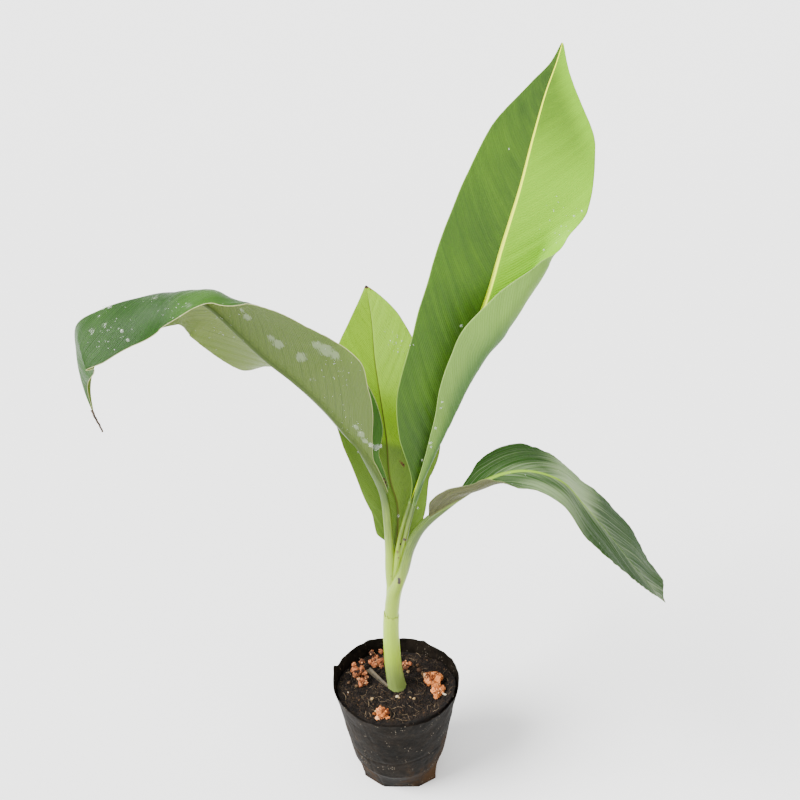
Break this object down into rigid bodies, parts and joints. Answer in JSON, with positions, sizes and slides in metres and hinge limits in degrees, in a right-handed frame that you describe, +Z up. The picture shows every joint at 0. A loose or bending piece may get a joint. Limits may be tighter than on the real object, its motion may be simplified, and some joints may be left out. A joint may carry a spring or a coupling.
{
  "type": "potted banana plant",
  "caption": "Young banana plant in a round black grow bag, with a thick false stem, leaf stalks and broad leaves that stand up, lean back, arch to the left and droop to the right.",
  "frame": {"origin": "middle of the grow bag's flat underside, which stands on the ground", "axes": "+Z up along the stem, -Y towards the viewer of the picture, +X towards the drooping leaf"},
  "size_m": [0.4637, 0.1717, 0.6391],
  "materials": {
    "grow_bag": "satin",
    "soil": "matte",
    "clods": "matte",
    "stem": "satin",
    "stalks": "satin",
    "leaves": "satin",
    "dried_leaf": "matte"
  },
  "bodies": {
    "root": {"grow_bag": "grow_bag", "soil": "soil", "clod_1": "clods", "clod_2": "clods", "clod_3": "clods", "clod_4": "clods", "clod_5": "clods", "clod_6": "clods", "clod_7": "clods", "false_stem": "stem", "stalk_upright": "stalks", "stalk_arching": "stalks", "stalk_drooping": "stalks", "leaf_upright": "leaves", "leaf_back": "leaves", "leaf_arching_inner": "leaves", "leaf_arching_outer": "leaves", "leaf_arching_tip": "leaves", "leaf_drooping_inner": "leaves", "leaf_drooping_outer": "leaves", "dried_thread": "dried_leaf"}
  },
  "joints": []
}
